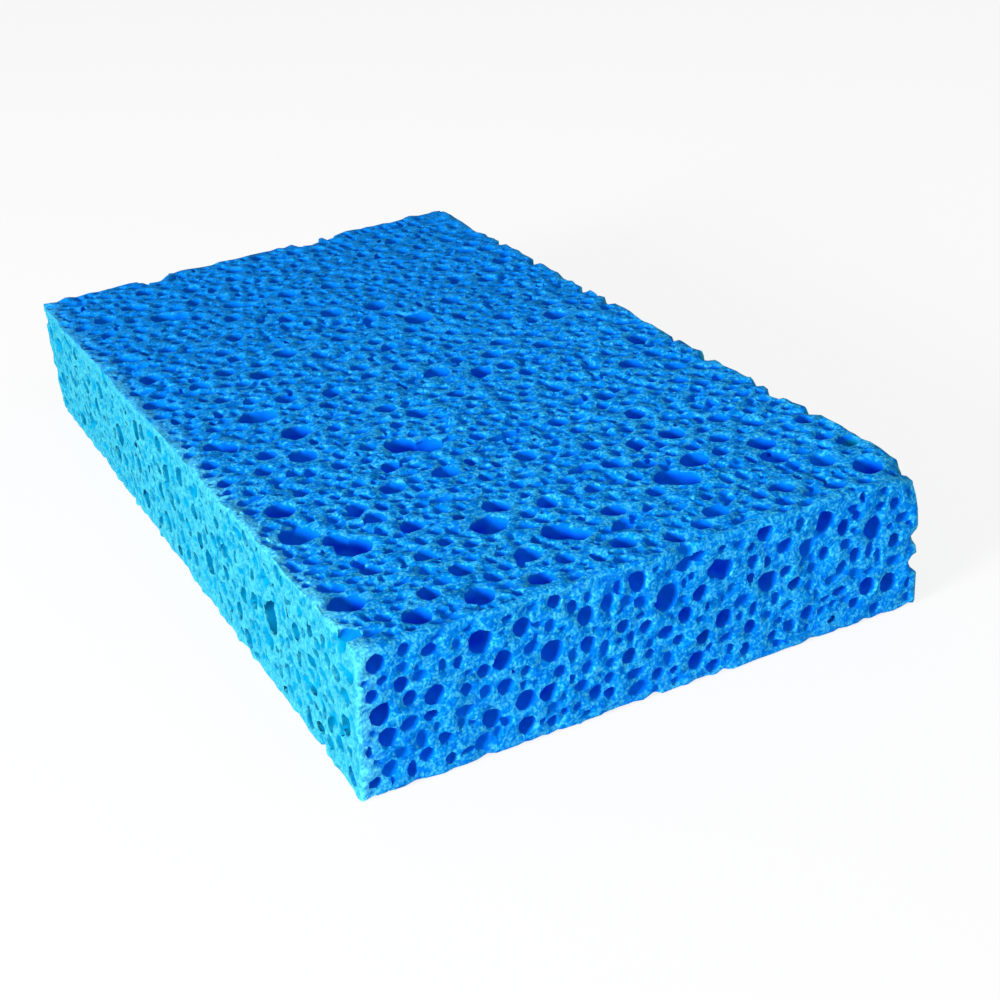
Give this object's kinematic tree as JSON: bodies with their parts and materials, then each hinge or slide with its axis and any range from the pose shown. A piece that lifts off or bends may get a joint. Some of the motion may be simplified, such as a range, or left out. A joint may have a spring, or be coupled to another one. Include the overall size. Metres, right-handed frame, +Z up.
{
  "type": "soldering tip cleaning sponge",
  "caption": "Rectangular block of blue cellulose sponge with pitted faces, wetted and used to wipe a soldering tip clean.",
  "frame": {"origin": "middle of the underside, on the surface the block rests on", "axes": "+X along the width, +Y along the length away from the end face in front, +Z up through the thickness"},
  "size_m": [0.051, 0.089, 0.0127],
  "materials": {
    "sponge": "matte open-celled foam"
  },
  "bodies": {
    "root": {"sponge": "sponge"}
  },
  "joints": []
}
